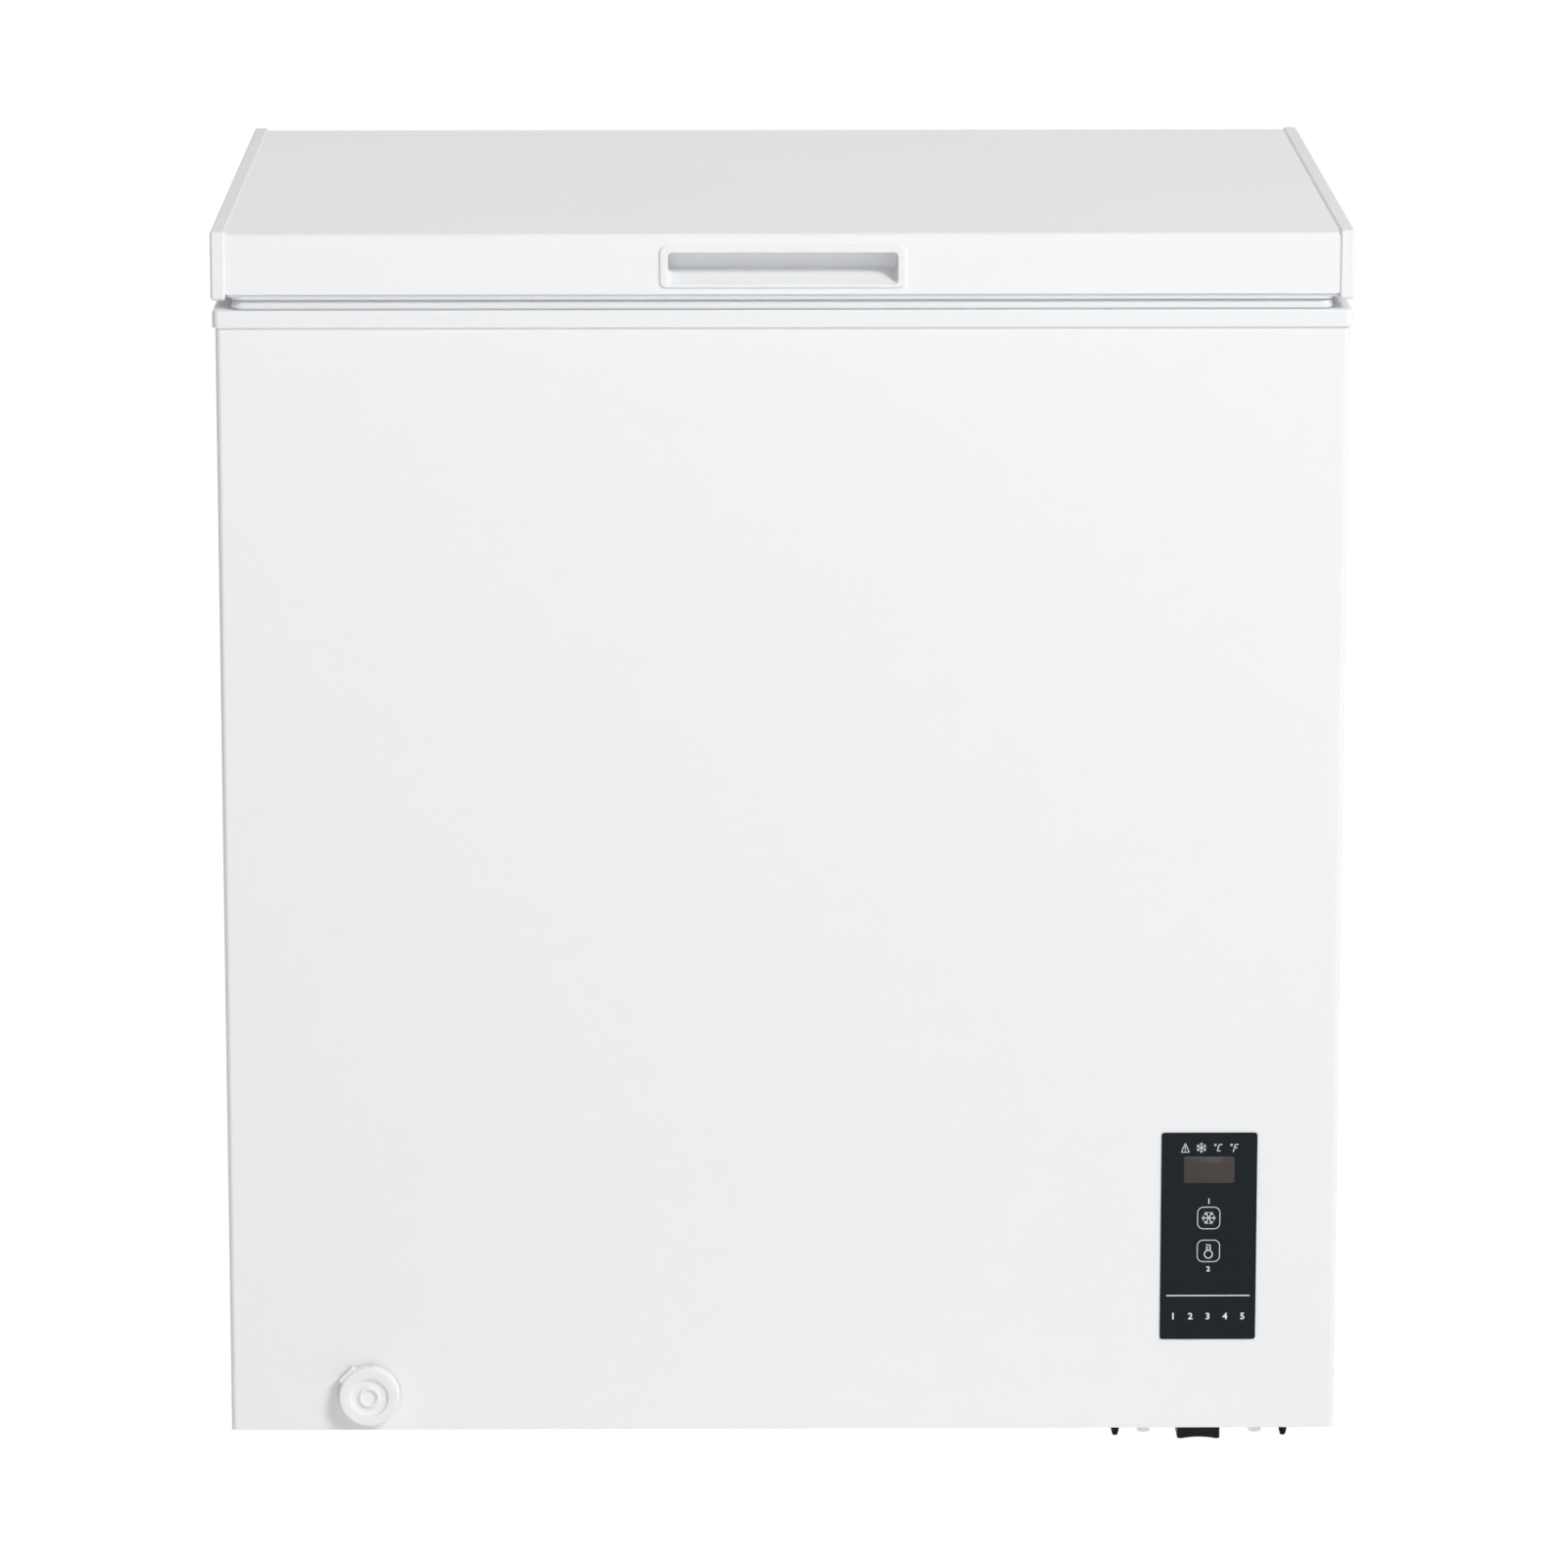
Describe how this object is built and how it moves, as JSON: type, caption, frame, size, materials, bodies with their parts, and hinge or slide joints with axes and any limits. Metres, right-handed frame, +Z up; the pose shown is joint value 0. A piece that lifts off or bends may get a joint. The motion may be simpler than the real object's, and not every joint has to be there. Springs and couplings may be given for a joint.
{
  "type": "chest freezer",
  "caption": "Compact white chest freezer with a hinged top lid, recessed pull, sliding wire basket, pull-out drain dial, and a key panel low on the front.",
  "frame": {"origin": "on the floor, under the middle of the whole freezer's box", "axes": "+Z up, the front with the pull and the keys faces -Y, +X is the right-hand side seen from the front"},
  "size_m": [0.769, 0.56, 0.85],
  "materials": {
    "painted_steel": "satin white enamel",
    "white_plastic": "smooth white moulding",
    "inner_plastic": "white vacuum-formed sheet",
    "foam": "rigid cellular foam",
    "liner": "embossed bare sheet",
    "galvanised": "galvanised",
    "zinc": "zinc plated",
    "black_steel": "semi-gloss black",
    "copper": "bare copper",
    "rubber_black": "matt",
    "rubber_white": "soft white",
    "rubber_magnet": "matt",
    "black_plastic": "fine grain",
    "fascia_black": "satin black",
    "smoked_lens": "smoked",
    "board_green": "solder mask",
    "wire_white": "white dip coating"
  },
  "bodies": {
    "cabinet": {"cabinet_wrap": "painted_steel", "rear_panel": "painted_steel", "bottom_panel": "galvanised", "bay_partition": "galvanised", "insulation": "foam", "inner_liner": "liner", "top_collar": "white_plastic", "temperature_probe": "copper", "condenser_tube": "copper", "evaporator_tube": "liner", "discharge_tube": "copper", "suction_tube": "copper", "filter_drier": "copper", "compressor_shell": "black_steel", "compressor_legs": "black_steel", "compressor_grommets": "rubber_black", "compressor_bolts": "zinc", "relay_cover": "black_plastic", "compressor_plate": "galvanised", "plate_bolts": "zinc", "plate_buffers": "rubber_black", "skid_front": "black_plastic", "skid_rear": "black_plastic", "foot_front_left": "black_plastic", "foot_rear_left": "black_plastic", "rear_grille": "painted_steel", "grille_screws": "zinc", "cord_gland": "black_plastic", "control_fascia": "fascia_black", "display_lens": "smoked_lens", "display_module": "black_plastic", "control_board": "board_green", "key_switches": "black_plastic", "control_housing": "inner_plastic", "drain_sleeve": "white_plastic", "drain_flange": "white_plastic", "hinge_bracket_left": "zinc", "hinge_bracket_right": "zinc", "bracket_screws": "zinc", "hinge_pins": "zinc", "hinge_springs": "zinc"},
    "lid": {"lid_skin": "painted_steel", "lid_end_cap_right": "white_plastic", "lid_end_cap_left": "white_plastic", "lid_foam": "foam", "lid_inner_panel": "inner_plastic", "lid_gasket": "rubber_white", "gasket_magnets": "rubber_magnet", "handle_insert": "white_plastic", "hinge_arm_left": "zinc", "hinge_arm_right": "zinc", "arm_screws": "zinc"},
    "basket": {"basket_frame": "wire_white", "basket_wires": "wire_white"},
    "upper_key": {"key_upper": "fascia_black"},
    "lower_key": {"key_lower": "fascia_black"},
    "stopper": {"drain_plug": "white_plastic"},
    "spout": {"drain_spout": "white_plastic", "drain_seal": "rubber_black"},
    "dial": {"drain_dial": "white_plastic"}
  },
  "joints": [
    {"name": "lid_hinge", "type": "hinge", "parent": "cabinet", "child": "lid", "pos_m": [0, 0.272, 0.806], "axis": [-1, 0, 0], "range_deg": [0, 80]},
    {"name": "basket_slide", "type": "slide", "parent": "cabinet", "child": "basket", "axis": [1, 0, 0], "range_m": [-0.37, 0]},
    {"name": "upper_key_press", "type": "slide", "parent": "cabinet", "child": "upper_key", "axis": [0, 1, 0], "range_m": [0, 0.0006], "stiffness_N_per_m": 1500, "springref_m": -0.0003},
    {"name": "lower_key_press", "type": "slide", "parent": "cabinet", "child": "lower_key", "axis": [0, 1, 0], "range_m": [0, 0.0006], "stiffness_N_per_m": 1500, "springref_m": -0.0003},
    {"name": "drain_pull", "type": "slide", "parent": "cabinet", "child": "spout", "axis": [0, -1, 0], "range_m": [0, 0.012]},
    {"name": "dial_turn", "type": "hinge", "parent": "spout", "child": "dial", "pos_m": [-0.286, -0.273, 0.0385], "axis": [0, 1, 0], "range_deg": [0, 180]},
    {"name": "stopper_lift", "type": "slide", "parent": "cabinet", "child": "stopper", "axis": [0, 0, 1], "range_m": [0, 0.03]}
  ]
}
